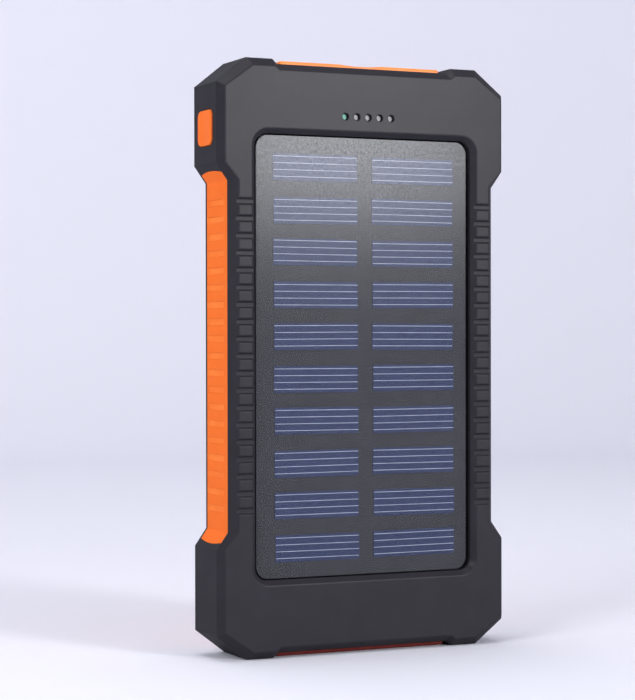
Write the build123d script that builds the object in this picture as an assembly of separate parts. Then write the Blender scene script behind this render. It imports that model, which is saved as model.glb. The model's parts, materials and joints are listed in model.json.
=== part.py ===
from build123d import *
import os
from math import atan2, cos, radians, sin, tan

# Solar power bank, upright. X is its width, Z its height, and Y its thickness, with the solar
# panel facing -Y. The origin is at the bottom centre. A depth below is a distance back from
# the front face. All sizes are in millimetres.

# Case
HEIGHT = 142.0
WIDTH = 76.4
THICKNESS = 17.0
WALL = 2.4
FRONT_WALL = 2.0
BEVEL_DEPTH = 2.4        # thickness taken by the sloped border round the front face
END_BEVEL = 2.0          # width of the sloped border at the ends, sides, waist and notch
SIDE_BEVEL = 1.3
WAIST_BEVEL = 1.9
NOTCH_BEVEL = 1.65
PARTING_DEPTH = 15.5     # where the front shell ends and the rear frame begins
CORNER_X = 7.5           # the clipped corners of the bumpers
WAIST_INSET = 2.9
NOTCH_HALF = 22.6        # the shallow notch in the top and bottom, between the bumpers
NOTCH_DEPTH = 1.2
EDGE_RADIUS = 0.45

# The two ends of the case differ a little. Each length is measured from its own end.
TOP_CORNER = 6.0         # height of the clipped corners
TOP_BUMPER = 25.0        # length of the bumpers along the sides
TOP_WAIST = 29.05        # where the straight waist begins
TOP_GRIP = 27.1          # where the side grips end
BOTTOM_CORNER = 5.8
BOTTOM_BUMPER = 26.1
BOTTOM_WAIST = 30.2
BOTTOM_GRIP = 27.8

# Solar panel and its recess
PANEL_X = -0.35          # the panel is glued in a little off centre
PANEL_Z = 71.4           # middle of the panel and of its recess
PANEL_WIDTH = 56.1
PANEL_HEIGHT = 104.9
PANEL_CORNER = 3.0
PANEL_DEPTH = 1.4
RECESS_HALF_WIDTH = 29.95
RECESS_HALF_HEIGHT = 53.9
RECESS_CORNER = 4.2
RECESS_SLOPE = 1.1       # how far the sloped wall comes in
POCKET_DEPTH = 3.6
POCKET_FLOOR = 1.4
FILM = 0.2
FILM_EDGE = 0.08         # softening of the film's rim
RESIN_GAP = 0.05         # between the film and the cells
CELL = 0.2
BOARD = 1.35
CELL_COLUMNS = 2
CELL_ROWS = 10
CELL_WIDTH = 22.0
CELL_HEIGHT = 6.35
CELL_PITCH = 10.04
CELL_X = 0.22            # middle of the two columns
CELL_Z = 71.15           # middle of the ten rows
CELL_COLUMN_X = 12.98
CELL_SLANT = 0.045       # how far each row is to the right of the one above it
BOARD_FRONT = PANEL_DEPTH + FILM + RESIN_GAP + CELL
BOARD_BACK = BOARD_FRONT + BOARD
ADHESIVE_INSET = 1.0
ADHESIVE_WIDTH = 1.8

# Grip channels across the front border, and the matching bands of the side grips
CHANNELS = 19
CHANNEL_PITCH = 4.036
CHANNEL_MIDDLE = 71.65
CHANNEL_TOP = 1.72
CHANNEL_FLOOR = 0.95
CHANNEL_DEPTH = 0.65
CHANNEL_ROUND = 0.35     # the rounding of the blocks between the channels

# Side grips
GRIP_FRONT = 2.6
GRIP_THICK = 1.3
GRIP_GAP = 0.06
GRIP_BULGE = 0.55        # how far the rounded ends stand out at the middle of the grip's depth
GRIP_BORDER = 2.3
GRIP_REAR_BORDER = 0.8
BAND_DEPTH = 0.15
BAND_WIDTH = 1.5
PEGS = 4
PEG_PITCH = 24.0
PEG_RADIUS = 1.0
PEG_FIT = 0.05

# Charge indicator
INDICATORS = 5
INDICATOR_PITCH = 3.04
INDICATOR_X = 0.34       # middle of the row of holes
INDICATOR_Z = 128.8
INDICATOR_HOLE = 0.85
GUIDE_PIN = 0.66
GUIDE_DEPTH = 0.85       # front ends of the pins
GUIDE_LEG = 0.7

# Power button and switch
BUTTON_DEPTH = 8.9       # centre of the button
BUTTON_Z = 125.55
BUTTON_WIDE = 8.4        # along Y
BUTTON_TALL = 8.4
BUTTON_CORNER = 1.7
BUTTON_PROUD = 0.45
BUTTON_GAP = 0.15
BUTTON_FLANGE = 0.9
PLUNGER_TIP = -30.4
SWITCH_FACE = -28.9

# Port cover
COVER_HALF = 21.4
COVER_FRONT = 3.6
COVER_RISE_BACK = 11.0
COVER_GAP = 0.25
COVER_DIP = 0.38
COVER_DIP_RADIUS = 47.0
COVER_HINGE_DEPTH = 12.6
COVER_HINGE_Z = 140.0
COVER_BEAD = 0.8
COVER_TOP = 141.75
COVER_LEAN = 1.0         # how far the wall behind the hinge leans back
PORT_PLANE = 139.2       # the mouths of the ports

# Bottom strip
STRIP_HALF = 22.35
STRIP_BOTTOM = 0.05
STRIP_ROUND = 0.9
STRIP_SEAT = 2.0
STRIP_BACK = 13.2
STRIP_PEGS = (-15.0, 0.0, 15.0)

# Circuit board and ports
PCB_HALF = 29.0
PCB_BOTTOM = 104.6
PCB_TOP = 137.6
PCB_DEPTH = 11.6
PCB_THICK = 1.0
BOARD_POST_X = 26.0
BOARD_POST_Z = 109.0
POST_RADIUS = 1.8
POST_PILOT = 0.75
BOARD_SCREW = 0.72
SOLAR_LEAD_X = 3.0
SOLAR_LEAD_Z = 119.0
USB_X = 14.0
USB_WIDE = 13.1
USB_THICK = 5.7
USB_LONG = 10.2
USB_WALL = 0.3
MICRO_WIDE = 7.5
MICRO_THICK = 2.6
MICRO_LONG = 5.0

# Battery
BATTERY_HALF = 30.0
BATTERY_BOTTOM = 12.0
BATTERY_TOP = 102.0
BATTERY_DEPTH = 5.6
BATTERY_THICK = 7.8

# Back of the case
COVER_PLATE_DEPTH = 14.2  # inner face of the rear cover
WINDOW_HALF = 31.2
WINDOW_END = 5.4
WINDOW_CORNER = 9.2
SCREW_X = 31.8
SCREW_FROM_END = 8.6
SCREW_SHANK = 0.97
SCREW_HEAD = 1.85
HEAD_DEPTH = 0.95        # depth of the head's counterbore in the rear frame
SCREW_CLEARANCE = 1.15
BOSS_RADIUS = 2.3
BOSS_PILOT = 1.0
SEAL_DEPTH = 15.05
LENS_DEPTH = 15.6
BACK_GROOVES = 5
LAMP_Z = 120.0
LAMP_HALF_X = 21.0
LAMP_HALF_Z = 12.0
LAMP_ROWS = 2
LAMP_COLUMNS = 3

MIDDLE = HEIGHT / 2


def y_at(depth):
    """Y of a point this far back from the front face."""
    return depth - THICKNESS / 2


def block(x, depth, z):
    """A box between pairs of limits: X, depth from the front, Z."""
    size = [high - low for low, high in (x, depth, z)]
    centre = (sum(x) / 2, y_at(sum(depth) / 2), sum(z) / 2)
    return Pos(*centre) * Box(*size)


def slab(shape, front, back):
    """A flat shape drawn in X and Z, made solid between two depths."""
    plane = Plane(origin=(0, y_at(front), 0), x_dir=(1, 0, 0), z_dir=(0, -1, 0))
    return extrude(plane * shape, amount=front - back)


def rounded(half_x, half_z, corner, middle=MIDDLE, x=0):
    """A rounded rectangle in X and Z."""
    return Pos(x, middle) * RectangleRounded(2 * half_x, 2 * half_z, corner)


def rod(x, z, radius, front, back):
    """A round rod that runs from front to back."""
    return slab(Pos(x, z) * Circle(radius), front, back)


def side_rod(x, depth, z, radius):
    """A round rod along X between two limits."""
    centre = Location(((x[0] + x[1]) / 2, y_at(depth), z), (0, 90, 0))
    return centre * Cylinder(radius, x[1] - x[0])


def rounded_block(x, depth, z, corner, axis):
    """A box whose edges along one axis are rounded."""
    solid = block(x, depth, z)
    return fillet(solid.edges().filter_by(axis), corner)


def outline(upper, lower):
    """A closed outline, the same left and right.

    Each list runs from the middle round to the side, as X and the distance from its own end.
    """
    right = [(x, HEIGHT - end) for x, end in upper] + list(reversed(lower))
    left = [(-x, z) for x, z in reversed(right)]
    return make_face(Polyline(*right, *left, close=True))


def shoulder_outline():
    """The case where it is widest, from the bevel back."""
    def half(corner, bumper, waist):
        return [
            (NOTCH_HALF, NOTCH_DEPTH),
            (NOTCH_HALF + NOTCH_DEPTH, 0),
            (WIDTH / 2 - CORNER_X, 0),
            (WIDTH / 2, corner),
            (WIDTH / 2, bumper),
            (WIDTH / 2 - WAIST_INSET, waist),
        ]
    return outline(half(TOP_CORNER, TOP_BUMPER, TOP_WAIST),
                   half(BOTTOM_CORNER, BOTTOM_BUMPER, BOTTOM_WAIST))


def face_outline():
    """The flat front face, inside the bevel."""
    def half(corner, bumper, waist):
        return [
            (NOTCH_HALF + 0.2, NOTCH_DEPTH + NOTCH_BEVEL),
            (NOTCH_HALF + 1.3, END_BEVEL),
            (WIDTH / 2 - CORNER_X - 1.0, END_BEVEL),
            (WIDTH / 2 - SIDE_BEVEL, corner + 1.2),
            (WIDTH / 2 - SIDE_BEVEL, bumper + 0.1),
            (WIDTH / 2 - WAIST_INSET - WAIST_BEVEL, waist + 0.1),
        ]
    return outline(half(TOP_CORNER, TOP_BUMPER, TOP_WAIST),
                   half(BOTTOM_CORNER, BOTTOM_BUMPER, BOTTOM_WAIST))


def inset(distance):
    """The case outline moved in by a wall thickness."""
    return offset(shoulder_outline(), amount=-distance, kind=Kind.INTERSECTION)


def window_outline(growth=0.0):
    """The opening in the rear frame, with clipped corners."""
    half = [
        (WINDOW_HALF - WINDOW_CORNER, WINDOW_END),
        (WINDOW_HALF, WINDOW_END + WINDOW_CORNER),
    ]
    shape = outline(half, half)
    if growth:
        shape = offset(shape, amount=growth, kind=Kind.INTERSECTION)
    return shape


def screw_places():
    """X and Z of the four case screws."""
    return [(x, z) for x in (-SCREW_X, SCREW_X) for z in (SCREW_FROM_END, HEIGHT - SCREW_FROM_END)]


def channel_heights():
    """Z of the middle of each grip channel."""
    first = CHANNEL_MIDDLE - CHANNEL_PITCH * (CHANNELS - 1) / 2
    return [first + CHANNEL_PITCH * i for i in range(CHANNELS)]


def indicator_places():
    """X of each charge indicator."""
    return [INDICATOR_X + INDICATOR_PITCH * (i - (INDICATORS - 1) / 2) for i in range(INDICATORS)]


# Case

def case_block():
    """The outside of the front shell: a bevelled front and straight sides, edges softened."""
    front = Plane(origin=(0, y_at(0), 0), x_dir=(1, 0, 0), z_dir=(0, -1, 0)) * face_outline()
    shoulder = Plane(origin=(0, y_at(BEVEL_DEPTH), 0), x_dir=(1, 0, 0), z_dir=(0, -1, 0))
    body = loft([front.face(), (shoulder * shoulder_outline()).face()], ruled=True)
    body = body + slab(shoulder_outline(), BEVEL_DEPTH, PARTING_DEPTH)
    parting_line = body.edges().group_by(Axis.Y)[-1]
    return fillet(ShapeList([e for e in body.edges() if e not in parting_line]), EDGE_RADIUS)


def panel_recess():
    """The sloped opening in the front, and the pocket that the solar board sits in."""
    mouth = rounded(RECESS_HALF_WIDTH, RECESS_HALF_HEIGHT, RECESS_CORNER, PANEL_Z)
    throat = rounded(RECESS_HALF_WIDTH - RECESS_SLOPE, RECESS_HALF_HEIGHT - RECESS_SLOPE,
                     RECESS_CORNER - RECESS_SLOPE, PANEL_Z)
    front = Plane(origin=(0, y_at(0), 0), x_dir=(1, 0, 0), z_dir=(0, -1, 0))
    back = Plane(origin=(0, y_at(PANEL_DEPTH), 0), x_dir=(1, 0, 0), z_dir=(0, -1, 0))
    slope = loft([(front * mouth).face(), (back * throat).face()], ruled=True)
    return slope + slab(throat, PANEL_DEPTH, POCKET_DEPTH)


def channel_section():
    """The cross-section of a channel: a flat floor, sloped walls and rounded lips."""
    reach = 0.5
    sink = 0.015         # keeps the lip's curve from only just touching the face
    slope = atan2((CHANNEL_TOP - CHANNEL_FLOOR) / 2, CHANNEL_DEPTH)
    turn = radians(90) - slope
    edge = CHANNEL_ROUND * tan(turn / 2)
    lip = CHANNEL_TOP / 2 + edge
    centre_depth = CHANNEL_ROUND - sink
    points = [(CHANNEL_FLOOR / 2, CHANNEL_DEPTH - sink)]
    for angle in (turn, turn / 2, 0.0):
        points.append((lip - CHANNEL_ROUND * sin(angle), centre_depth - CHANNEL_ROUND * cos(angle)))
    floor, start, middle, end = [(y_at(depth), half) for half, depth in points]
    above = (y_at(-reach), lip)
    side = [Line(floor, start), ThreePointArc(start, middle, end), Line(end, above)]
    other = [mirror(edge_line, about=Plane.XZ) for edge_line in side]
    low_floor, low_above = (floor[0], -floor[1]), (above[0], -above[1])
    return make_face(side + other + [Line(floor, low_floor), Line(above, low_above)])


def grip_channels():
    """The cutter for the channels: bars that run across both front borders."""
    inner = RECESS_HALF_WIDTH - RECESS_SLOPE
    outer = WIDTH / 2
    bar = extrude(Plane.YZ * channel_section(), amount=outer - inner)
    return [Pos(x, 0, z) * bar for z in channel_heights() for x in (inner, -outer)]


def grip_block(thick, gap=0.0):
    """The right-hand grip's plain body: it follows the side of the case and has rounded ends."""
    def flare(waist_start, bumper):
        return WAIST_INSET / (waist_start - bumper)

    waist = WIDTH / 2 - WAIST_INSET
    low, high = BOTTOM_GRIP + gap, HEIGHT - TOP_GRIP - gap
    low_tip, high_tip = low - GRIP_BULGE, high + GRIP_BULGE
    outer = [
        (waist + flare(BOTTOM_WAIST, BOTTOM_BUMPER) * (BOTTOM_WAIST - low_tip), low_tip),
        (waist, BOTTOM_WAIST),
        (waist, HEIGHT - TOP_WAIST),
        (waist + flare(TOP_WAIST, TOP_BUMPER) * (high_tip - HEIGHT + TOP_WAIST), high_tip),
    ]
    inner = [(x - thick, z) for x, z in reversed(outer)]
    body = slab(make_face(Polyline(*outer, *inner, close=True)), GRIP_FRONT + gap, PARTING_DEPTH - gap)
    front, back = y_at(GRIP_FRONT + gap), y_at(PARTING_DEPTH - gap)
    middle = (front + back) / 2
    side_view = make_face([
        Line((front, low), (front, high)),
        ThreePointArc((front, high), (middle, high_tip), (back, high)),
        Line((back, high), (back, low)),
        ThreePointArc((back, low), (middle, low_tip), (front, low)),
    ])
    return body & extrude(Plane.YZ * side_view, amount=WIDTH)


def peg_heights():
    """Z of the pegs that hold a side grip."""
    return [MIDDLE + PEG_PITCH * (i - (PEGS - 1) / 2) for i in range(PEGS)]


def grip_notches():
    """The space that both side grips take out of the front shell."""
    seat = grip_block(GRIP_THICK)
    inner = WIDTH / 2 - WAIST_INSET - GRIP_THICK
    middle = (GRIP_FRONT + PARTING_DEPTH) / 2
    holes = [side_rod((inner - 2.0, inner + 0.2), middle, z, PEG_RADIUS + PEG_FIT) for z in peg_heights()]
    # The seat's outer side runs past the case, so that no skin is left there.
    spare = Pos(1.0, 0, 0) * seat
    right = [seat, spare] + holes
    return right + [mirror(piece, about=Plane.YZ) for piece in right]


def port_openings():
    """The shallow seat of the port cover, and the cut-outs for the ports below it."""
    width = (-COVER_HALF - COVER_GAP, COVER_HALF + COVER_GAP)
    groove_radius = COVER_BEAD + 0.06
    seat = block(width, (COVER_FRONT - COVER_GAP, COVER_HINGE_DEPTH), (PORT_PLANE, HEIGHT))
    groove = side_rod(width, COVER_HINGE_DEPTH, COVER_HINGE_Z, groove_radius)
    back = COVER_HINGE_DEPTH + groove_radius
    # The wall behind the groove leans back, which leaves room for the flap when it is open.
    lean = make_face(Polyline(
        (y_at(COVER_HINGE_DEPTH - 0.01), COVER_HINGE_Z), (y_at(back), COVER_HINGE_Z),
        (y_at(back + COVER_LEAN), HEIGHT), (y_at(COVER_HINGE_DEPTH - 0.01), HEIGHT), close=True))
    above = Pos(width[0], 0, 0) * extrude(Plane.YZ * lean, amount=width[1] - width[0])
    fit = 0.1
    below = HEIGHT - NOTCH_DEPTH - WALL - 0.5
    cuts = [seat, groove, above]
    for x in (-USB_X, USB_X):
        half = USB_WIDE / 2 + fit
        cuts.append(block((x - half, x + half),
                          (PCB_DEPTH - USB_THICK - fit, PCB_DEPTH + fit), (below, PORT_PLANE + 0.1)))
    half = MICRO_WIDE / 2 + fit
    cuts.append(block((-half, half), (PCB_DEPTH - MICRO_THICK - fit, PCB_DEPTH + fit),
                      (below, PORT_PLANE + 0.1)))
    return cuts


def mouth_edges(body):
    """The edges of the panel recess where it meets the front face."""
    front = [e for e in body.edges() if e.bounding_box().max.Y < y_at(0.01)]
    reach = RECESS_HALF_WIDTH + 0.1
    height = RECESS_HALF_HEIGHT + 0.1
    return ShapeList([e for e in front if abs(e.center().X) < reach
                      and abs(e.center().Z - PANEL_Z) < height])


def front_shell():
    """The black front of the case, with its deep side walls."""
    body = case_block()
    ledge = POCKET_DEPTH + POCKET_FLOOR
    cavity = slab(inset(WALL), ledge, PARTING_DEPTH + 1)
    clear_of_panel = RECESS_HALF_HEIGHT + 1.2
    shallow = slab(inset(WALL + 0.6), FRONT_WALL, ledge + 0.1)
    ends = [
        block((-WIDTH, WIDTH), (0, THICKNESS), (PANEL_Z + clear_of_panel, HEIGHT)),
        block((-WIDTH, WIDTH), (0, THICKNESS), (0, PANEL_Z - clear_of_panel)),
    ]
    body = body - cavity - [shallow & end for end in ends]
    body = body + [rod(x, z, BOSS_RADIUS, FRONT_WALL - 0.1, COVER_PLATE_DEPTH)
                   for x, z in screw_places()]
    body = body + [rod(x, BOARD_POST_Z, POST_RADIUS, ledge - 0.1, PCB_DEPTH)
                   for x in (-BOARD_POST_X, BOARD_POST_X)]
    body = body - panel_recess()
    body = fillet(mouth_edges(body), EDGE_RADIUS)
    body = body - grip_channels()
    body = body - grip_notches()
    body = body - port_openings()
    body = body - [rod(x, INDICATOR_Z, INDICATOR_HOLE, -1, FRONT_WALL + 0.1)
                   for x in indicator_places()]
    body = body - [rod(x, z, BOSS_PILOT, COVER_PLATE_DEPTH - 7.0, COVER_PLATE_DEPTH + 0.1)
                   for x, z in screw_places()]
    body = body - [rod(x, BOARD_POST_Z, POST_PILOT, PCB_DEPTH - 4.5, PCB_DEPTH + 0.1)
                   for x in (-BOARD_POST_X, BOARD_POST_X)]
    body = body - [rod(x, SOLAR_LEAD_Z, 1.0, POCKET_DEPTH - 0.1, ledge + 0.1)
                   for x in (-SOLAR_LEAD_X, SOLAR_LEAD_X)]
    body = body - button_hole()
    return body - strip_seat()


def rear_frame():
    """The black ring that closes the back of the case, with corner guards."""
    body = slab(shoulder_outline(), PARTING_DEPTH, THICKNESS)
    rear = body.edges().group_by(Axis.Y)[-1]
    body = fillet(rear, 0.8)
    body = body - slab(window_outline(), PARTING_DEPTH - 1, THICKNESS + 1)
    body = body - [rod(x, z, SCREW_HEAD + 0.2, THICKNESS - HEAD_DEPTH, THICKNESS + 1)
                   for x, z in screw_places()]
    return body - [rod(x, z, SCREW_CLEARANCE, PARTING_DEPTH - 1, THICKNESS) for x, z in screw_places()]


def rear_cover():
    """The orange back: a plate held under the rear frame, raised to fill its window."""
    body = slab(inset(WALL + 0.15), COVER_PLATE_DEPTH, PARTING_DEPTH)
    raised = slab(window_outline(-0.12), PARTING_DEPTH, THICKNESS - 0.25)
    raised = fillet(raised.edges().group_by(Axis.Y)[-1], 0.4)
    body = body + raised
    body = body - [rod(x, z, SCREW_CLEARANCE, COVER_PLATE_DEPTH - 1, THICKNESS) for x, z in screw_places()]
    body = body - seal_ring(SEAL_DEPTH, PARTING_DEPTH + 0.01)
    body = body - slab(rounded(LAMP_HALF_X + 0.1, LAMP_HALF_Z + 0.1, 3.1, LAMP_Z),
                       LENS_DEPTH, THICKNESS + 1)
    body = body - slab(rounded(LAMP_HALF_X - 1.5, LAMP_HALF_Z - 1.5, 2.0, LAMP_Z),
                       COVER_PLATE_DEPTH - 1, THICKNESS + 1)
    groove = SlotOverall(40.0, 2.2)
    return body - [slab(Pos(0, 24.0 + 6.5 * i) * groove, THICKNESS - 0.25 - 0.45, THICKNESS)
                   for i in range(BACK_GROOVES)]


def seal_ring(front, back):
    """The ring of the case seal, between the rear cover and the rear frame."""
    return slab(window_outline(1.05) - window_outline(0.35), front, back)


def case_screws():
    """The four screws through the rear frame."""
    screws = []
    for x, z in screw_places():
        head = rod(x, z, SCREW_HEAD, THICKNESS - HEAD_DEPTH, THICKNESS - 0.1)
        shank = rod(x, z, SCREW_SHANK, COVER_PLATE_DEPTH - 6.5, THICKNESS - 0.9)
        cross = [slab(Pos(x, z) * Rotation(0, 0, turn) * Rectangle(2.2, 0.5), THICKNESS - 0.6, THICKNESS)
                 for turn in (45, 135)]
        screws.append(head + shank - cross)
    return screws


def side_grip():
    """The orange grip of the right-hand side, with shallow bands and four pegs."""
    body = grip_block(GRIP_THICK - 0.02, GRIP_GAP)
    face = WIDTH / 2 - WAIST_INSET
    band_depths = (GRIP_FRONT + GRIP_BORDER, PARTING_DEPTH - GRIP_REAR_BORDER)
    bands = [block((face - BAND_DEPTH, face + 1), band_depths, (z - BAND_WIDTH / 2, z + BAND_WIDTH / 2))
             for z in channel_heights()]
    middle = (GRIP_FRONT + PARTING_DEPTH) / 2
    inner = face - GRIP_THICK
    pegs = [side_rod((inner - 1.0, inner + 0.3), middle, z, PEG_RADIUS) for z in peg_heights()]
    return body - bands + pegs


def strip_pegs(radius, top):
    """Round pegs that stand on the bottom strip."""
    middle = (COVER_FRONT + STRIP_BACK) / 2
    height = top - STRIP_SEAT + 0.2
    return [Pos(x, y_at(middle), top - height / 2) * Cylinder(radius, height) for x in STRIP_PEGS]


def strip_seat():
    """The seat of the bottom strip, with holes for its pegs."""
    gap = 0.15
    seat = block((-STRIP_HALF - gap, STRIP_HALF + gap), (COVER_FRONT - gap, STRIP_BACK + gap),
                 (-1, STRIP_SEAT))
    return [seat] + strip_pegs(PEG_RADIUS + PEG_FIT, STRIP_SEAT + 2.0)


def bottom_strip():
    """The orange strip between the bottom bumpers."""
    body = block((-STRIP_HALF, STRIP_HALF), (COVER_FRONT, STRIP_BACK), (STRIP_BOTTOM, STRIP_SEAT - 0.05))
    body = fillet(body.edges().group_by(Axis.Z)[0], STRIP_ROUND)
    return body + strip_pegs(PEG_RADIUS, STRIP_SEAT + 1.3)


# Solar panel

def panel_layer(front, back, shrink=0.0):
    """A sheet of the solar panel's outline between two depths."""
    shape = rounded(PANEL_WIDTH / 2 - shrink, PANEL_HEIGHT / 2 - shrink, PANEL_CORNER - shrink,
                    PANEL_Z, PANEL_X)
    return slab(shape, front, back)


def panel_film():
    """The clear film over the cells, with a soft rim."""
    sheet = panel_layer(PANEL_DEPTH, PANEL_DEPTH + FILM)
    return fillet(sheet.edges().group_by(Axis.Y)[0], FILM_EDGE)


def solar_cells():
    """The cell strips, laid by hand, so each is a little off its place and out of square."""
    front = PANEL_DEPTH + FILM + RESIN_GAP
    cells = []
    for row in range(CELL_ROWS):
        for column in range(CELL_COLUMNS):
            from_middle = row - (CELL_ROWS - 1) / 2
            x = CELL_X + CELL_COLUMN_X * (2 * column - 1) + CELL_SLANT * from_middle
            x += 0.08 * sin(2.3 * row + 1.7 * column)
            z = CELL_Z - CELL_PITCH * from_middle + 0.09 * cos(3.1 * row + 4.4 * column)
            turn = 0.3 * sin(1.9 * row + 2.6 * column + 0.5)
            place = Pos(x, z) * Rotation(0, 0, turn)
            cells.append(slab(place * Rectangle(CELL_WIDTH, CELL_HEIGHT), front, front + CELL))
    return cells


def solar_board():
    """The rigid backing of the solar panel."""
    return panel_layer(BOARD_FRONT, BOARD_BACK)


def panel_adhesive():
    """The adhesive frame between the solar board and its pocket."""
    frame = panel_layer(BOARD_BACK, POCKET_DEPTH, ADHESIVE_INSET)
    return frame - panel_layer(BOARD_BACK - 1, POCKET_DEPTH + 1, ADHESIVE_INSET + ADHESIVE_WIDTH)


# Charge indicator

def indicator_light_guide():
    """One clear moulding: a bar with a pin into each hole and a leg to each lamp."""
    places = indicator_places()
    bar = block((places[0] - 1.1, places[-1] + 1.1), (2.2, 3.6), (INDICATOR_Z - 1.1, INDICATOR_Z + 1.1))
    pins = [rod(x, INDICATOR_Z, GUIDE_PIN, GUIDE_DEPTH, 2.3) for x in places]
    legs = [rod(x, INDICATOR_Z, GUIDE_LEG, 3.5, 10.5) for x in places]
    return bar + pins + legs


def indicator_leds():
    """The lamps behind the light guide."""
    return [block((x - 0.8, x + 0.8), (10.8, PCB_DEPTH), (INDICATOR_Z - 0.6, INDICATOR_Z + 0.6))
            for x in indicator_places()]


# Power button

def button_bar(half_y, half_z, corner, x):
    """A rounded bar along X, centred on the button."""
    plane = Plane(origin=(x[0], y_at(BUTTON_DEPTH), BUTTON_Z), x_dir=(0, 1, 0), z_dir=(1, 0, 0))
    return extrude(plane * RectangleRounded(2 * half_y, 2 * half_z, corner), amount=x[1] - x[0])


def button_hole():
    """The opening for the button in the left wall."""
    side = -WIDTH / 2
    inside = side + WALL
    hole = button_bar(BUTTON_WIDE / 2 + BUTTON_GAP, BUTTON_TALL / 2 + BUTTON_GAP,
                      BUTTON_CORNER + BUTTON_GAP, (side - 1, inside + 0.1))
    relief = button_bar(BUTTON_WIDE / 2 + BUTTON_FLANGE + 0.15, BUTTON_TALL / 2 + BUTTON_FLANGE + 0.15,
                        BUTTON_CORNER, (inside, inside + 2.0))
    return [hole, relief]


def power_button():
    """The orange key, with a flange behind the wall and a stem to the switch."""
    outside = -WIDTH / 2 - BUTTON_PROUD
    behind = -WIDTH / 2 + WALL + 0.1
    key = button_bar(BUTTON_WIDE / 2, BUTTON_TALL / 2, BUTTON_CORNER, (outside, behind + 0.1))
    key = fillet(key.edges().group_by(Axis.X)[0], 0.35)
    dish_radius = 16.0
    dish = Pos(outside - dish_radius + 0.18, y_at(BUTTON_DEPTH), BUTTON_Z) * Cylinder(dish_radius, HEIGHT)
    flange = button_bar(BUTTON_WIDE / 2 + BUTTON_FLANGE, BUTTON_TALL / 2 + BUTTON_FLANGE,
                        BUTTON_CORNER, (behind, behind + 0.8))
    stem = side_rod((behind + 0.7, PLUNGER_TIP - 0.03), BUTTON_DEPTH, BUTTON_Z, 1.6)
    return key - dish + flange + stem


def switch_body():
    """The push switch's case, with the hole that its plunger slides in."""
    body = block((SWITCH_FACE, SWITCH_FACE + 3.5), (7.2, PCB_DEPTH), (BUTTON_Z - 3, BUTTON_Z + 3))
    return body - side_rod((SWITCH_FACE - 1, SWITCH_FACE + 1.6), BUTTON_DEPTH, BUTTON_Z, 1.26)


def switch_plunger():
    """The plunger that the button pushes."""
    return side_rod((PLUNGER_TIP, SWITCH_FACE + 1.1), BUTTON_DEPTH, BUTTON_Z, 1.2)


# Port cover

def port_cover():
    """The orange flap over the ports: a bead along its back edge turns in the case's groove."""
    x = (-COVER_HALF, COVER_HALF)
    sheet_bottom = PORT_PLANE + 0.12
    sheet_top = HEIGHT - NOTCH_DEPTH
    sheet = block(x, (COVER_FRONT, COVER_HINGE_DEPTH), (sheet_bottom, sheet_top))
    rise = rounded_block(x, (COVER_FRONT, COVER_RISE_BACK), (sheet_bottom, COVER_TOP), 0.7, Axis.Z)
    rise = fillet(rise.edges().group_by(Axis.Z)[-1], 0.5)
    bead = side_rod(x, COVER_HINGE_DEPTH, COVER_HINGE_Z, COVER_BEAD)
    dip = Pos(0, 0, COVER_TOP - COVER_DIP + COVER_DIP_RADIUS) * Rotation(90, 0, 0)
    plugs = [cover_plug(px, 5.8, (6.7, 10.8), 1.0) for px in (-USB_X, USB_X)]
    return sheet + (rise - dip * Cylinder(COVER_DIP_RADIUS, 2 * THICKNESS)) + bead + plugs \
        + cover_plug(0, 2.4, (9.6, 10.9), 0.8)


def cover_plug(x, half, depth, reach):
    """A shallow plug under the flap, which sits in a port's mouth."""
    return rounded_block((x - half, x + half), depth, (PORT_PLANE - reach, PORT_PLANE + 0.2), 0.4, Axis.Z)


# Circuit board and what it carries

def main_pcb():
    """The circuit board behind the ports."""
    board = block((-PCB_HALF, PCB_HALF), (PCB_DEPTH, PCB_DEPTH + PCB_THICK), (PCB_BOTTOM, PCB_TOP))
    return board - [rod(x, BOARD_POST_Z, 0.9, PCB_DEPTH - 1, PCB_DEPTH + PCB_THICK + 1)
                    for x in (-BOARD_POST_X, BOARD_POST_X)]


def board_screws():
    """The two screws that hold the circuit board to its posts."""
    back = PCB_DEPTH + PCB_THICK
    head = rod(0, BOARD_POST_Z, 1.5, back, back + 0.7)
    shank = rod(0, BOARD_POST_Z, BOARD_SCREW, back - 5.0, back + 0.1)
    return [Pos(x, 0, 0) * (head + shank) for x in (-BOARD_POST_X, BOARD_POST_X)]


def usb_a_port(x):
    """The pressed steel shell of a full-size port, open upwards."""
    half = USB_WIDE / 2
    outer = rounded_block((x - half, x + half), (PCB_DEPTH - USB_THICK, PCB_DEPTH),
                          (PORT_PLANE - USB_LONG, PORT_PLANE), 0.5, Axis.Z)
    half -= USB_WALL
    inner = rounded_block((x - half, x + half), (PCB_DEPTH - USB_THICK + USB_WALL, PCB_DEPTH - USB_WALL),
                          (PORT_PLANE - USB_LONG - 1, PORT_PLANE + 1), 0.3, Axis.Z)
    return outer - inner


def usb_a_insulators():
    """The plastic base and tongue inside each full-size port."""
    insulators = []
    bottom = PORT_PLANE - USB_LONG
    for x in (-USB_X, USB_X):
        half = USB_WIDE / 2 - USB_WALL - 0.05
        base = block((x - half, x + half), (PCB_DEPTH - USB_THICK + 0.4, PCB_DEPTH - 0.4),
                     (bottom, bottom + 1.5))
        tongue = block((x - 5.5, x + 5.5), (PCB_DEPTH - 2.5, PCB_DEPTH - 0.65),
                       (bottom + 1.4, PORT_PLANE - 1.6))
        insulators.append(base + tongue)
    return insulators


def usb_a_contacts():
    """The four contact strips on each tongue."""
    contacts = []
    for x in (-USB_X, USB_X):
        for offset_x in (-3.5, -1.0, 1.0, 3.5):
            contacts.append(block((x + offset_x - 0.5, x + offset_x + 0.5),
                                  (PCB_DEPTH - 2.7, PCB_DEPTH - 2.5),
                                  (PORT_PLANE - USB_LONG + 1.6, PORT_PLANE - 2.2)))
    return contacts


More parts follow.
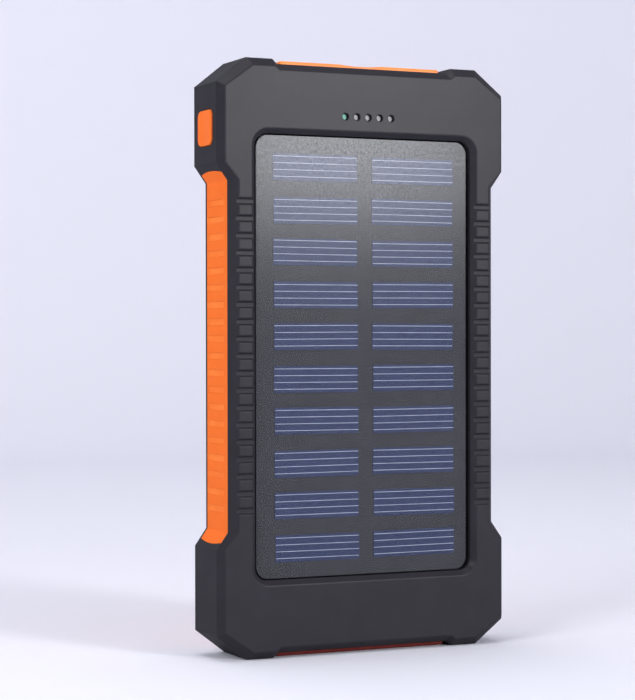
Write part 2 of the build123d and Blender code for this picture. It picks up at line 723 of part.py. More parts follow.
def micro_section(shrink):
    """The keyed outline of the small port, drawn in X and depth."""
    half, narrow, thick = MICRO_WIDE / 2 - shrink, MICRO_WIDE / 2 - 1.1 - shrink, MICRO_THICK
    front = y_at(PCB_DEPTH - thick + shrink)
    back = y_at(PCB_DEPTH - shrink)
    step = y_at(PCB_DEPTH - thick + 1.1)
    return make_face(Polyline((-half, front), (half, front), (half, step), (narrow, back),
                              (-narrow, back), (-half, step), close=True))


def micro_usb_port():
    """The steel shell of the small port, open upwards."""
    bottom = PORT_PLANE - MICRO_LONG
    outer = extrude(Pos(0, 0, bottom) * micro_section(0), amount=MICRO_LONG)
    return outer - extrude(Pos(0, 0, bottom - 1) * micro_section(0.25), amount=MICRO_LONG + 2)


def micro_usb_tongue():
    """The plastic base and tongue of the small port."""
    bottom = PORT_PLANE - MICRO_LONG
    base = extrude(Pos(0, 0, bottom) * micro_section(0.3), amount=0.8)
    tongue = block((-1.8, 1.8), (PCB_DEPTH - 1.15, PCB_DEPTH - 0.55), (bottom + 0.7, PORT_PLANE - 1.2))
    return base + tongue


def power_inductors():
    """The two wound inductors of the charger and the booster."""
    return [rounded_block((x - 3.2, x + 3.2), (PCB_DEPTH - 3.0, PCB_DEPTH), (114.0, 120.4), 1.2, Axis.Y)
            for x in (-13.0, 13.0)]


def control_chips():
    """The charger, booster and counter chips."""
    places = ((-4.0, 113.0, 5.0, 4.0), (6.0, 116.0, 4.0, 4.0), (-20.0, 110.0, 4.0, 5.0))
    return [block((x - w / 2, x + w / 2), (PCB_DEPTH - 1.2, PCB_DEPTH), (z - h / 2, z + h / 2))
            for x, z, w, h in places]


def capacitors():
    """The ceramic capacitors round the inductors."""
    places = ((-13.0, 111.5), (-8.0, 123.5), (8.0, 123.5), (13.0, 111.5), (20.0, 121.0), (20.0, 124.0))
    return [block((x - 1.6, x + 1.6), (PCB_DEPTH - 1.1, PCB_DEPTH), (z - 0.8, z + 0.8)) for x, z in places]


# Battery

def battery_cell():
    """The flat lithium cell in its foil pouch."""
    return rounded_block((-BATTERY_HALF, BATTERY_HALF), (BATTERY_DEPTH, BATTERY_DEPTH + BATTERY_THICK),
                         (BATTERY_BOTTOM, BATTERY_TOP), 2.0, Axis.Z)


def battery_tabs():
    """The two metal tabs that join the cell to its protection board."""
    return [block((x - 2, x + 2), (9.4, 9.6), (BATTERY_TOP, BATTERY_TOP + 0.8)) for x in (-9.0, 9.0)]


def protection_board():
    """The small board across the top of the cell."""
    return block((-14, 14), (7.6, 11.2), (BATTERY_TOP + 0.8, BATTERY_TOP + 1.6))


def battery_pads():
    """The foam pads that hold the cell front and back."""
    pad_z = (BATTERY_BOTTOM + 8, BATTERY_TOP - 8)
    front = block((-26, 26), (POCKET_DEPTH + POCKET_FLOOR, BATTERY_DEPTH), pad_z)
    back = block((-26, 26), (BATTERY_DEPTH + BATTERY_THICK, COVER_PLATE_DEPTH), pad_z)
    return [front, back]


# Camping lamp on the back

def lamp_places():
    """X and Z of each lamp LED."""
    return [(13.0 * (column - 1), LAMP_Z + 10.0 * (row - 0.5))
            for row in range(LAMP_ROWS) for column in range(LAMP_COLUMNS)]


def lamp_board():
    """The board that carries the lamp LEDs."""
    return slab(rounded(LAMP_HALF_X + 0.5, LAMP_HALF_Z + 0.5, 1.0, LAMP_Z), 13.4, COVER_PLATE_DEPTH)


def lamp_leds():
    """The white LEDs of the lamp."""
    return [block((x - 1.7, x + 1.7), (COVER_PLATE_DEPTH, COVER_PLATE_DEPTH + 0.75), (z - 1.4, z + 1.4))
            for x, z in lamp_places()]


def lamp_reflector():
    """The white tray with a flared cup round each LED."""
    front, back = COVER_PLATE_DEPTH, LENS_DEPTH - 0.1
    tray = slab(rounded(LAMP_HALF_X - 1.6, LAMP_HALF_Z - 1.6, 1.9, LAMP_Z), front, back)
    cups = []
    for x, z in lamp_places():
        cup = Pos(x, y_at((front + back) / 2), z) * Rotation(-90, 0, 0)
        cups.append(cup * Cone(2.6, 4.2, back - front))
    return tray - cups


def lamp_lens():
    """The clear window over the lamp."""
    lens = slab(rounded(LAMP_HALF_X, LAMP_HALF_Z, 3.0, LAMP_Z), LENS_DEPTH, THICKNESS - 0.3)
    return fillet(lens.edges().group_by(Axis.Y)[-1], 0.25)


def lamp_contact_pins():
    """The two spring pins between the main board and the lamp board."""
    return [rod(x, 112.0, 0.5, PCB_DEPTH + PCB_THICK, 13.4) for x in (-16.0, 16.0)]


# Leads

def lead(points, bend, radius):
    """A wire through the given points, with round bends."""
    route = FilletPolyline(*[(x, y_at(depth), z) for x, depth, z in points], radius=bend)
    start = Plane(origin=route @ 0, z_dir=route % 0)
    return sweep(start * Circle(radius), path=route)


def solar_leads():
    """The two wires from the solar board to the main board."""
    foot_z = SOLAR_LEAD_Z - 1.4
    return [lead([(x, BOARD_BACK, SOLAR_LEAD_Z), (x, 6.4, SOLAR_LEAD_Z), (x, 8.4, foot_z),
                  (x, PCB_DEPTH, foot_z)], 1.6, 0.5) for x in (-SOLAR_LEAD_X, SOLAR_LEAD_X)]


def battery_leads():
    """The two wires from the protection board to the main board."""
    top = BATTERY_TOP + 1.6
    return [lead([(x, 8.6, top), (x, 8.6, 108.2), (x, PCB_DEPTH, 108.2)], 2.4, 0.6) for x in (-9.0, 9.0)]


def build():
    """Every node's shape, by name."""
    grip = side_grip()
    return {
        "front_shell": front_shell(),
        "rear_frame": rear_frame(),
        "rear_cover": rear_cover(),
        "case_seal": seal_ring(SEAL_DEPTH, PARTING_DEPTH),
        "case_screws": case_screws(),
        "side_grip_right": grip,
        "side_grip_left": mirror(grip, about=Plane.YZ),
        "bottom_strip": bottom_strip(),
        "panel_film": panel_film(),
        "solar_cells": solar_cells(),
        "solar_board": solar_board(),
        "panel_adhesive": panel_adhesive(),
        "solar_leads": solar_leads(),
        "indicator_light_guide": indicator_light_guide(),
        "indicator_leds": indicator_leds(),
        "power_button": power_button(),
        "switch_body": switch_body(),
        "switch_plunger": switch_plunger(),
        "port_cover": port_cover(),
        "main_pcb": main_pcb(),
        "board_screws": board_screws(),
        "usb_a_port_left": usb_a_port(-USB_X),
        "usb_a_port_right": usb_a_port(USB_X),
        "usb_a_insulators": usb_a_insulators(),
        "usb_a_contacts": usb_a_contacts(),
        "micro_usb_port": micro_usb_port(),
        "micro_usb_tongue": micro_usb_tongue(),
        "power_inductors": power_inductors(),
        "control_chips": control_chips(),
        "capacitors": capacitors(),
        "battery_cell": battery_cell(),
        "battery_tabs": battery_tabs(),
        "protection_board": protection_board(),
        "battery_pads": battery_pads(),
        "battery_leads": battery_leads(),
        "lamp_board": lamp_board(),
        "lamp_leds": lamp_leds(),
        "lamp_reflector": lamp_reflector(),
        "lamp_lens": lamp_lens(),
        "lamp_contact_pins": lamp_contact_pins(),
    }


def main():
    os.makedirs("parts", exist_ok=True)
    for node, shape in build().items():
        if isinstance(shape, list):
            shape = Compound(children=shape)
        export_step(shape, f"parts/{node}.step")


main()
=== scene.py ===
import json
import math
import random

import bmesh
import bpy
from mathutils import Matrix, Vector


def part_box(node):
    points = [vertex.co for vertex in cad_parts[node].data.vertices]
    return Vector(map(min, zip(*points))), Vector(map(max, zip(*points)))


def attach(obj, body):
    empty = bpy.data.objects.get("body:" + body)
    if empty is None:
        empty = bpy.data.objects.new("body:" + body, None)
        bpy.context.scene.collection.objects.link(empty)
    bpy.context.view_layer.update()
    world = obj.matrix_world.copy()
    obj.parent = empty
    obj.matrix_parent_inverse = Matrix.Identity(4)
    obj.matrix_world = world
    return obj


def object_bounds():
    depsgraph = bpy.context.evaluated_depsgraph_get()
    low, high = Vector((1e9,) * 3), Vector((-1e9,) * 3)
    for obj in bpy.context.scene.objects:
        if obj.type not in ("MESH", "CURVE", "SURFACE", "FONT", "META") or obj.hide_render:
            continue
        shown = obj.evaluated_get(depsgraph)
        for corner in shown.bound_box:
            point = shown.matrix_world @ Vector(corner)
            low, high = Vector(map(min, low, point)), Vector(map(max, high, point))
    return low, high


# A solar power bank, standing on its end. Metres, in the part's frame: X is its width, Z its
# height, and the solar panel faces -Y. The origin is under the middle of the case.

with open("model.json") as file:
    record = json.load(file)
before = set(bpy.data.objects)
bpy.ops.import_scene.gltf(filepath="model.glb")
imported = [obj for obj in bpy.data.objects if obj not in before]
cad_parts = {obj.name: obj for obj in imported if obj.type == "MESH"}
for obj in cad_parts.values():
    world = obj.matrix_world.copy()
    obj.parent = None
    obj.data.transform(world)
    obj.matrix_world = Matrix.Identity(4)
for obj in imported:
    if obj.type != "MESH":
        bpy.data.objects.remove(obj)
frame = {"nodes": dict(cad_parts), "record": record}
cad_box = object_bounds()

MM = 0.001
LOW, HIGH = cad_box
MIDDLE_Z = (LOW.z + HIGH.z) / 2

# Camera: a long lens, to the left of the panel's normal, a little above the case's middle. Its place
# and its turns were fitted to the photograph. Angles are in degrees, lens and sensor in millimetres.
CAMERA_AT = Vector((-0.2203, -0.4602, 0.0772))
CAMERA_AZIMUTH = 24.626
CAMERA_PITCH = -0.481
CAMERA_ROLL = 0.084
CAMERA_LENS = 107.44
CAMERA_SENSOR = 36.0

# The paler bands of the grips, a painted highlight for the light their shallow grooves catch: their
# spacing, how far the row's middle is above the case's, how far the row reaches from there, half a band's
# height with the width of its soft edge, and the depth behind the case's front at which the bands start
BAND_PITCH = 4.036 * MM
BAND_RAISE = 0.65 * MM
BAND_REACH = 39.5 * MM
BAND_HALF = 0.70 * MM
BAND_EDGE = 0.12 * MM
BAND_FRONT = 4.8 * MM

# Colours, linear
SHELL_DARK = (0.0250, 0.0238, 0.0290)
SHELL_LIGHT = (0.0292, 0.0278, 0.0335)
ORANGE_DEEP = (0.89, 0.166, 0.0200)
ORANGE_LIGHT = (0.92, 0.182, 0.0240)
# Painted highlight of the grips' bands
ORANGE_BAND_HIGHLIGHT = (0.97, 0.235, 0.0400)
BACKDROP = (0.80, 0.805, 0.88)


# Shader nodes

def node_of(tree, kind):
    """The first node of a type."""
    return next(n for n in tree.nodes if n.type == kind)


def new_material(name):
    """A material with a Principled shader. Returns the material, its tree and the shader."""
    made = bpy.data.materials.new(name)
    made.use_nodes = True
    tree = made.node_tree
    return made, tree, node_of(tree, "BSDF_PRINCIPLED")


def add(tree, kind, **values):
    """A node of this kind, with its properties set."""
    node = tree.nodes.new(kind)
    for key, value in values.items():
        setattr(node, key, value)
    return node


def place(tree, stretch=(1, 1, 1)):
    """Coordinates in the part's own metres, stretched along each axis."""
    source = add(tree, "ShaderNodeTexCoord")
    mapping = add(tree, "ShaderNodeMapping")
    mapping.inputs["Scale"].default_value = stretch
    tree.links.new(source.outputs["Object"], mapping.inputs["Vector"])
    return mapping.outputs["Vector"]


def noise(tree, size, detail=2.0, roughness=0.5, stretch=(1, 1, 1)):
    """Noise whose features are about this size, in metres."""
    node = add(tree, "ShaderNodeTexNoise")
    node.inputs["Scale"].default_value = 1 / size
    node.inputs["Detail"].default_value = detail
    node.inputs["Roughness"].default_value = roughness
    tree.links.new(place(tree, stretch), node.inputs["Vector"])
    return node.outputs["Fac"]


def remap(tree, value, low, high, new_low, new_high):
    """A value moved from one range to another, and held inside it."""
    node = add(tree, "ShaderNodeMapRange")
    limits = {"From Min": low, "From Max": high, "To Min": new_low, "To Max": new_high}
    for key, number in limits.items():
        node.inputs[key].default_value = number
    tree.links.new(value, node.inputs["Value"])
    return node.outputs["Result"]


def calculate(tree, operation, first, second=None):
    """The result of a sum on a value, with a second value or number where the sum needs one."""
    node = add(tree, "ShaderNodeMath", operation=operation)
    tree.links.new(first, node.inputs[0])
    if isinstance(second, (int, float)):
        node.inputs[1].default_value = second
    elif second:
        tree.links.new(second, node.inputs[1])
    return node.outputs["Value"]


def mix_colours(tree, share, first, second):
    """A colour between two, which may be fixed or come from a node."""
    node = add(tree, "ShaderNodeMix", data_type="RGBA")
    tree.links.new(share, node.inputs["Factor"])
    for key, colour in (("A", first), ("B", second)):
        socket = next(s for s in node.inputs if s.name == key and s.type == "RGBA")
        if isinstance(colour, tuple):
            socket.default_value = (*colour, 1)
        else:
            tree.links.new(colour, socket)
    return next(s for s in node.outputs if s.type == "RGBA")


def blend_shaders(tree, share, first, second):
    """Shows a mixture of two shaders: the first where the share is 0, the second where it is 1."""
    both = add(tree, "ShaderNodeMixShader")
    tree.links.new(share, both.inputs["Fac"])
    tree.links.new(first.outputs["BSDF"], both.inputs[1])
    tree.links.new(second.outputs["BSDF"], both.inputs[2])
    tree.links.new(both.outputs["Shader"], node_of(tree, "OUTPUT_MATERIAL").inputs["Surface"])


def bump(tree, shader, height, distance, under=None):
    """Relief of this height, in metres, on the shader, over the normals of another node if given."""
    node = add(tree, "ShaderNodeBump")
    node.inputs["Distance"].default_value = distance
    node.inputs["Strength"].default_value = 1.0
    tree.links.new(height, node.inputs["Height"])
    if under:
        tree.links.new(under, node.inputs["Normal"])
    tree.links.new(node.outputs["Normal"], shader.inputs["Normal"])


def soft_edges(tree, radius):
    """Normals that turn round every edge as if it had this radius, in shading only."""
    node = add(tree, "ShaderNodeBevel", samples=6)
    node.inputs["Radius"].default_value = radius
    return node.outputs["Normal"]


def surface(name, dark, light, roughness, patch=6 * MM, grain=0.25 * MM, relief=0.004 * MM, metallic=0.0,
            specular=0.5, spread=0.08, soften=0.0, coat=0.0):
    """A moulded or finished surface: uneven colour in patches, uneven gloss, a fine grain.

    Soften is the radius of its edges in shading, or 0. Coat is the weight of a weak clear layer,
    which needs soft edges. Patch, grain, relief and soften are in metres.
    """
    made, tree, shader = new_material(name)
    shader.inputs["Metallic"].default_value = metallic
    shader.inputs["Specular IOR Level"].default_value = specular
    patches = remap(tree, noise(tree, patch, 4.0, 0.6), 0.3, 0.7, 0, 1)
    tree.links.new(mix_colours(tree, patches, dark, light), shader.inputs["Base Color"])
    fine = noise(tree, grain, 2.0, 0.6)
    tree.links.new(remap(tree, fine, 0.3, 0.7, roughness - spread, roughness + spread),
                   shader.inputs["Roughness"])
    edges = soft_edges(tree, soften) if soften else None
    if coat:
        shader.inputs["Coat Weight"].default_value = coat
        shader.inputs["Coat Roughness"].default_value = roughness
        tree.links.new(edges, shader.inputs["Coat Normal"])
    bump(tree, shader, fine, relief, under=edges)
    return made


# Materials of what is seen

def shell_plastic():
    """Fine spark-eroded black plastic."""
    return surface("shell_plastic", SHELL_DARK, SHELL_LIGHT, 0.31, patch=9 * MM, grain=0.16 * MM,
                   relief=0.004 * MM, specular=0.0, spread=0.03, soften=0.35 * MM, coat=0.165)


def orange_rubber():
    """Matt orange elastomer of the grips: paler in their shallow bands, a painted highlight for the light
    the bands catch.
    """
    made = surface("orange_rubber", ORANGE_DEEP, ORANGE_LIGHT, 0.5, patch=5 * MM, grain=0.2 * MM,
                   relief=0.003 * MM, specular=0.0, soften=0.2 * MM, coat=0.2)
    tree = made.node_tree
    shader = node_of(tree, "BSDF_PRINCIPLED")
    plain = shader.inputs["Base Color"].links[0].from_socket
    split = add(tree, "ShaderNodeSeparateXYZ")
    tree.links.new(place(tree), split.inputs["Vector"])
    above = calculate(tree, "SUBTRACT", split.outputs["Z"], MIDDLE_Z + BAND_RAISE)
    to_band = calculate(tree, "PINGPONG", above, BAND_PITCH / 2)
    from_middle = calculate(tree, "ABSOLUTE", above)
    band = remap(tree, to_band, BAND_HALF, BAND_HALF + BAND_EDGE, 1, 0)
    inside = remap(tree, from_middle, BAND_REACH, BAND_REACH + 0.1 * MM, 1, 0)
    start = LOW.y + BAND_FRONT
    behind = remap(tree, split.outputs["Y"], start, start + 0.2 * MM, 0, 1)
    share = calculate(tree, "MULTIPLY", calculate(tree, "MULTIPLY", band, inside), behind)
    # Uneven strength of the painted highlight in the bands
    band_highlight_strength = remap(tree, noise(tree, 3 * MM, stretch=(1, 0.3, 1)), 0.35, 0.65, 0.35, 1)
    share = calculate(tree, "MULTIPLY", share, band_highlight_strength)
    tree.links.new(mix_colours(tree, share, plain, ORANGE_BAND_HIGHLIGHT), shader.inputs["Base Color"])
    return made


def flap_rubber_painted_sheen():
    """The orange elastomer of the port cover, coloured paler and yellower: a painted sheen, for the light
    on its top edge.
    """
    return surface("flap_rubber_painted_sheen", (0.92, 0.230, 0.040), (0.97, 0.290, 0.060), 0.45, patch=5 * MM,
                   grain=0.2 * MM, relief=0.003 * MM, specular=0.3, soften=0.3 * MM)


def shaded_strip_rubber():
    """The elastomer strip under the case, coloured dark brick red: painted shade, for orange rubber in
    the shadow under the case.
    """
    return surface("shaded_strip_rubber", (0.13, 0.018, 0.014), (0.16, 0.023, 0.018), 0.55, patch=5 * MM,
                   grain=0.2 * MM, relief=0.003 * MM, specular=0.15)


def orange_plastic():
    """Satin orange plastic, of the key and the back."""
    return surface("orange_plastic", ORANGE_DEEP, ORANGE_LIGHT, 0.42, patch=8 * MM, grain=0.15 * MM,
                   relief=0.004 * MM, specular=0.0, soften=0.25 * MM, coat=0.25)


def solar_cell():
    """Blue crystalline silicon: flat grains of slightly different blues."""
    made, tree, shader = new_material("solar_cell")
    crystals = add(tree, "ShaderNodeTexVoronoi")
    crystals.inputs["Scale"].default_value = 1 / (1.6 * MM)
    tree.links.new(place(tree, (1, 0.1, 1.4)), crystals.inputs["Vector"])
    split = add(tree, "ShaderNodeSeparateColor")
    tree.links.new(crystals.outputs["Color"], split.inputs["Color"])
    colour = mix_colours(tree, split.outputs["Red"], (0.031, 0.041, 0.088), (0.036, 0.047, 0.099))
    tree.links.new(colour, shader.inputs["Base Color"])
    tree.links.new(remap(tree, split.outputs["Green"], 0, 1, 0.34, 0.42), shader.inputs["Roughness"])
    shader.inputs["Specular IOR Level"].default_value = 0.03
    return made


def silver_line():
    """Printed silver paste, a little uneven."""
    return surface("silver_line", (0.30, 0.33, 0.42), (0.44, 0.47, 0.56), 0.5, patch=0.8 * MM,
                   grain=0.1 * MM, relief=0.001 * MM, specular=0.1)


def panel_backing():
    """The dark laminate round the cells."""
    return surface("panel_backing", (0.040, 0.041, 0.047), (0.047, 0.048, 0.054), 0.5, patch=4 * MM,
                   grain=0.2 * MM, relief=0.002 * MM, specular=0.0)


def panel_film():
    """Clear satin film: it lets what is behind show, and adds a soft haze of its own."""
    made, tree, shader = new_material("panel_film")
    grain = noise(tree, 0.30 * MM, 3.0, 0.6)
    shader.inputs["Base Color"].default_value = (0.80, 0.81, 0.84, 1)
    shader.inputs["Metallic"].default_value = 1.0
    tree.links.new(remap(tree, grain, 0.3, 0.7, 0.16, 0.185), shader.inputs["Roughness"])
    clear = add(tree, "ShaderNodeBsdfTransparent")
    facing = add(tree, "ShaderNodeLayerWeight")
    facing.inputs["Blend"].default_value = 0.2
    mottle = remap(tree, noise(tree, 0.7 * MM, 3.0, 0.75, (1.2, 1, 0.8)), 0.25, 0.75, 0.4, 1.6)
    straight_on, grazing = 0.0047, 0.15
    haze = remap(tree, facing.outputs["Fresnel"], 0, 1, straight_on, grazing)
    blend_shaders(tree, calculate(tree, "MULTIPLY", haze, mottle), clear, shader)
    return made


def light_guide():
    """The clear moulding: the ends of its pins look pale, and the first one, which is lit, is painted
    green for its glow.
    """
    made, tree, shader = new_material("light_guide")
    low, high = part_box("indicator_light_guide")
    split = add(tree, "ShaderNodeSeparateXYZ")
    tree.links.new(place(tree), split.inputs["Vector"])
    light_count = 5
    pitch = (high.x - low.x) / light_count
    painted_glow = remap(tree, split.outputs["X"], low.x + pitch, low.x + 1.2 * pitch, 1, 0)
    cloud = remap(tree, noise(tree, 0.5 * MM), 0.3, 0.7, 0.8, 1)
    pale = mix_colours(tree, cloud, (0.34, 0.34, 0.34), (0.50, 0.50, 0.50))
    tree.links.new(mix_colours(tree, painted_glow, pale, (0.28, 0.62, 0.50)), shader.inputs["Base Color"])
    tree.links.new(remap(tree, cloud, 0.8, 1, 0.55, 0.7), shader.inputs["Roughness"])
    shader.inputs["Specular IOR Level"].default_value = 0.1
    return made


def clear_lens():
    """The lamp's clear window."""
    made, tree, shader = new_material("clear_lens")
    shader.inputs["Base Color"].default_value = (0.93, 0.95, 0.95, 1)
    shader.inputs["Alpha"].default_value = 0.22
    tree.links.new(remap(tree, noise(tree, 2 * MM), 0.3, 0.7, 0.04, 0.09), shader.inputs["Roughness"])
    return made


# Materials by slot of the record

def all_materials():
    """The material of each of the record's slots."""
    return {
        "shell_black": shell_plastic(),
        "orange_plastic": orange_plastic(),
        "orange_rubber": orange_rubber(),
        "seal_rubber": surface("seal_rubber", (0.010, 0.010, 0.010), (0.016, 0.016, 0.016), 0.6),
        "screw_steel": surface("screw_steel", (0.16, 0.16, 0.165), (0.24, 0.24, 0.25), 0.32,
                               patch=1.5 * MM, grain=0.1 * MM, metallic=1.0),
        "panel_film": panel_film(),
        "solar_cell": solar_cell(),
        "panel_backing": panel_backing(),
        "adhesive": surface("adhesive", (0.50, 0.50, 0.45), (0.60, 0.60, 0.54), 0.6),
        "wire_insulation": surface("wire_insulation", (0.35, 0.010, 0.008), (0.45, 0.016, 0.010), 0.4),
        "clear_plastic": clear_lens(),
        "led_package": surface("led_package", (0.80, 0.72, 0.25), (0.88, 0.82, 0.40), 0.35, patch=1 * MM),
        "component_black": surface("component_black", (0.010, 0.010, 0.011), (0.018, 0.018, 0.020), 0.5),
        "circuit_board": surface("circuit_board", (0.006, 0.060, 0.022), (0.010, 0.085, 0.030), 0.35,
                                 patch=3 * MM),
        "port_steel": surface("port_steel", (0.55, 0.55, 0.56), (0.70, 0.70, 0.71), 0.3, patch=2 * MM,
                              grain=0.1 * MM, metallic=1.0),
        "port_plastic": surface("port_plastic", (0.75, 0.75, 0.72), (0.82, 0.82, 0.79), 0.4),
        "contact_gold": surface("contact_gold", (0.75, 0.50, 0.16), (0.85, 0.60, 0.22), 0.25,
                                metallic=1.0),
        "ferrite": surface("ferrite", (0.018, 0.018, 0.018), (0.035, 0.035, 0.035), 0.55, patch=1 * MM),
        "ceramic": surface("ceramic", (0.35, 0.27, 0.16), (0.42, 0.33, 0.20), 0.4),
        "battery_foil": surface("battery_foil", (0.50, 0.51, 0.52), (0.62, 0.63, 0.64), 0.35,
                                patch=12 * MM, metallic=0.9),
        "foam": surface("foam", (0.015, 0.015, 0.015), (0.030, 0.030, 0.030), 0.8, patch=0.8 * MM,
                        relief=0.05 * MM),
        "reflector_white": surface("reflector_white", (0.80, 0.80, 0.79), (0.88, 0.88, 0.87), 0.25),
    }


def dress_nodes(materials):
    """Gives each CAD node its slot's material, and three of them one of their own."""
    slots = {part["node"]: part["material_slot"] for part in frame["record"]["subparts"]}
    for node, thing in frame["nodes"].items():
        thing.data.materials.clear()
        thing.data.materials.append(materials[slots[node]])
    special = {
        # The light guide's green first pin is a painted glow
        "indicator_light_guide": light_guide(),
        # The port cover's paler orange is a painted sheen
        "port_cover": flap_rubber_painted_sheen(),
        # The bottom strip's dark red is painted shade
        "bottom_strip": shaded_strip_rubber(),
    }
    for node, material in special.items():
        frame["nodes"][node].data.materials[0] = material


# Pieces made here

def put(name, data):
    """An object with this data, in the scene."""
    thing = bpy.data.objects.new(name, data)
    bpy.context.scene.collection.objects.link(thing)
    return thing


def mesh_of(work, name):
    """The mesh of a finished BMesh, which is then freed."""
    mesh = bpy.data.meshes.new(name)
    work.to_mesh(mesh)
    work.free()
    return mesh


def loose_parts(mesh):
    """The vertices of each separate solid of a mesh."""
    work = bmesh.new()
    work.from_mesh(mesh)
    bmesh.ops.remove_doubles(work, verts=work.verts, dist=0.001 * MM)
    left = set(work.verts)
    parts = []
    for first in work.verts:
        if first not in left:
            continue
        left.remove(first)
        stack = [first]
        found = []
        while stack:
            vertex = stack.pop()
            found.append(vertex.co.copy())
            for edge in vertex.link_edges:
                other = edge.other_vert(vertex)
                if other in left:
                    left.remove(other)
                    stack.append(other)
        parts.append(found)
    work.free()
    return parts


def by_place(parts):
    """Parts in two columns, ordered by where they are: the left one from the top, then the right."""
    low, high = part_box("solar_cells")
    middle_x = (low.x + high.x) / 2

    def place_of(corners):
        centre = sum(corners, Vector()) / len(corners)
        return centre.x > middle_x, -centre.z

    return sorted(parts, key=place_of)


def cell_front(corners):
    """A cell's front: its top left corner, the ways along its top and down its side, and its depth."""
    front_y = min(c.y for c in corners)
    face = [c for c in corners if c.y < front_y + 0.05 * MM]
    by_x = sorted(face, key=lambda c: c.x)
    left, right = by_x[:2], by_x[-2:]
    top_left, top_right = max(left, key=lambda c: c.z), max(right, key=lambda c: c.z)
    bottom_left = min(left, key=lambda c: c.z)
    return top_left, top_right - top_left, (bottom_left - top_left).normalized(), front_y


def printed_line(work, rng, front, below):
    """One printed line, this far below a cell's top edge: a low ridge of slightly uneven width."""
    corner, along, down, front_y = front
    width, height, gap = 0.13 * MM, 0.012 * MM, 0.002 * MM
    steps, margin, unevenness = 12, 0.004, 0.12
    rows = []
    for step in range(steps + 1):
        share = margin + (1 - 2 * margin) * step / steps
        half = width / 2 * (1 + rng.uniform(-unevenness, unevenness))
        centre = corner + along * share + down * below
        ring = []
        for side, depth in ((-half, 0), (-0.6 * half, height), (0.6 * half, height), (half, 0)):
            point = centre + down * side
            point.y = front_y - gap - depth
            ring.append(work.verts.new(point))
        rows.append(ring)
    for a, b in zip(rows, rows[1:]):
        for i in range(len(a)):
            j = (i + 1) % len(a)
            work.faces.new((a[i], a[j], b[j], b[i]))
    work.faces.new(rows[0])
    work.faces.new(list(reversed(rows[-1])))


def cell_lines():
    """The four printed silver lines across each solar cell."""
    lines_per_cell, pitch, first_at = 4, 1.61 * MM, 0.62 * MM
    rng = random.Random(7)
    work = bmesh.new()
    for corners in by_place(loose_parts(frame["nodes"]["solar_cells"].data)):
        front = cell_front(corners)
        first = first_at + rng.uniform(-0.14, 0.10) * MM
        for line in range(lines_per_cell):
            printed_line(work, rng, front, first + line * pitch)
    bmesh.ops.recalc_face_normals(work, faces=work.faces)
    piece = put("cell_lines", mesh_of(work, "cell_lines"))
    piece.data.materials.append(silver_line())
    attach(piece, "case")


# The studio

def backdrop_paint():
    """Matt pale paint, clear from behind so that the wall hides nothing from outside."""
    made, tree, shader = new_material("backdrop")
    shader.inputs["Base Color"].default_value = (*BACKDROP, 1)
    shader.inputs["Roughness"].default_value = 0.9
    shader.inputs["Specular IOR Level"].default_value = 0.1
    geometry = add(tree, "ShaderNodeNewGeometry")
    clear = add(tree, "ShaderNodeBsdfTransparent")
    blend_shaders(tree, geometry.outputs["Backfacing"], shader, clear)
    return made


def backdrop():
    """A pale floor that curves up into a round wall, seen from the inside only."""
    centre_y, floor_radius, bend, top = -0.35, 1.10, 0.45, 2.2
    steps, turns = 20, 128
    angles = [2 * math.pi * i / turns for i in range(turns)]
    profile = [(floor_radius * share, 0.0) for share in (0.25, 0.5, 0.75, 1.0)]
    for i in range(1, steps + 1):
        angle = math.pi / 2 * i / steps
        profile.append((floor_radius + bend * math.sin(angle), bend * (1 - math.cos(angle))))
    profile.append((floor_radius + bend, top))
    work = bmesh.new()
    rows = []
    for radius, z in profile:
        points = [(radius * math.cos(a), centre_y + radius * math.sin(a), z) for a in angles]
        rows.append([work.verts.new(point) for point in points])
    work.faces.new(rows[0])
    for a, b in zip(rows, rows[1:]):
        for i in range(turns):
            j = (i + 1) % turns
            work.faces.new((a[i], b[i], b[j], a[j]))
    bmesh.ops.recalc_face_normals(work, faces=work.faces)
    if work.faces[0].normal.z < 0:
        bmesh.ops.reverse_faces(work, faces=work.faces)
    mesh = mesh_of(work, "backdrop")
    for polygon in mesh.polygons:
        polygon.use_smooth = True
    mesh.materials.append(backdrop_paint())
    put("backdrop", mesh)


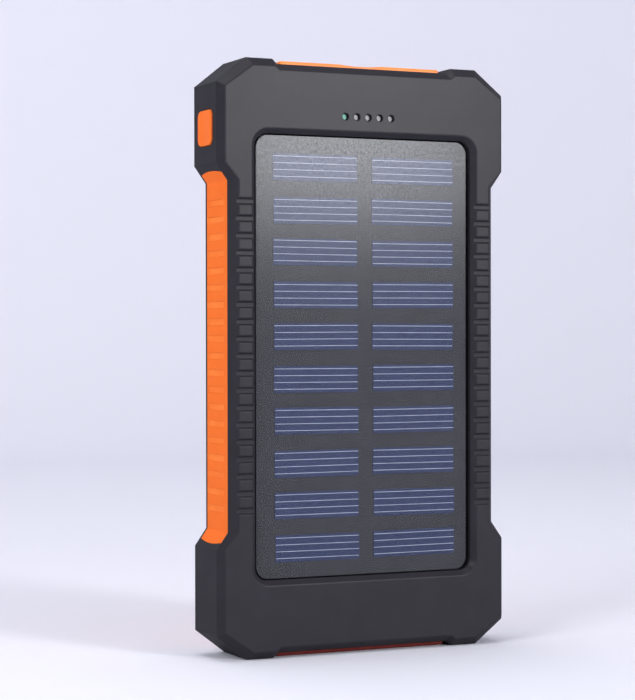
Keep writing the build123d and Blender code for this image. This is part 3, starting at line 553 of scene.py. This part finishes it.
def softbox(name, at, towards, width, height, power):
    """A rectangular lamp that faces a point, with its power in watts. The camera doesn't see it."""
    lamp = bpy.data.lights.new(name, "AREA")
    lamp.shape = "RECTANGLE"
    lamp.size = width
    lamp.size_y = height
    lamp.energy = power
    thing = put(name, lamp)
    thing.location = at
    thing.rotation_mode = "QUATERNION"
    thing.rotation_quaternion = (Vector(towards) - Vector(at)).to_track_quat("-Z", "Y")
    thing.visible_camera = False


def lights():
    """Soft light from above, the left and the front, a lamp to the right that the panel mirrors, and
    one behind that lights the wall. Their powers were fitted to colours of the photograph."""
    world = bpy.data.worlds.new("studio")
    world.use_nodes = True
    sky = node_of(world.node_tree, "BACKGROUND")
    sky.inputs["Color"].default_value = (0.87, 0.885, 0.97, 1)
    sky.inputs["Strength"].default_value = 0.02
    bpy.context.scene.world = world
    middle = Vector((0, 0, MIDDLE_Z))
    softbox("lamp_panel", (0.555, -1.2, 0.386), middle, 0.25, 0.40, 11.64)
    softbox("lamp_top", (-0.1, 0.1, 1.3), middle, 0.7, 0.7, 6.75)
    softbox("lamp_side", (-0.55, -0.3, 0.42), middle, 0.3, 0.3, 2.37)
    softbox("lamp_front", (0.35, -0.8, 1.2), middle, 0.6, 0.6, 2.08)
    softbox("lamp_wall", (-0.1, 0.7, 0.9), (0.12, 1.2, 0.35), 0.4, 0.3, 1.24)


def camera():
    """The camera, at its fitted place."""
    azimuth, pitch = math.radians(CAMERA_AZIMUTH), math.radians(CAMERA_PITCH)
    forward = Vector((math.sin(azimuth) * math.cos(pitch), math.cos(azimuth) * math.cos(pitch),
                      math.sin(pitch)))
    data = bpy.data.cameras.new("camera")
    data.lens = CAMERA_LENS
    data.sensor_width = CAMERA_SENSOR
    data.clip_start, data.clip_end = 0.01, 20
    thing = put("camera", data)
    thing.location = CAMERA_AT
    thing.rotation_mode = "QUATERNION"
    roll = Matrix.Rotation(math.radians(CAMERA_ROLL), 3, forward).to_quaternion()
    thing.rotation_quaternion = roll @ forward.to_track_quat("-Z", "Y")
    bpy.context.scene.camera = thing


def main():
    """Builds the scene round the CAD model."""
    bpy.context.scene.view_settings.view_transform = "Standard"
    camera()
    dress_nodes(all_materials())
    cell_lines()
    backdrop()
    lights()


main()
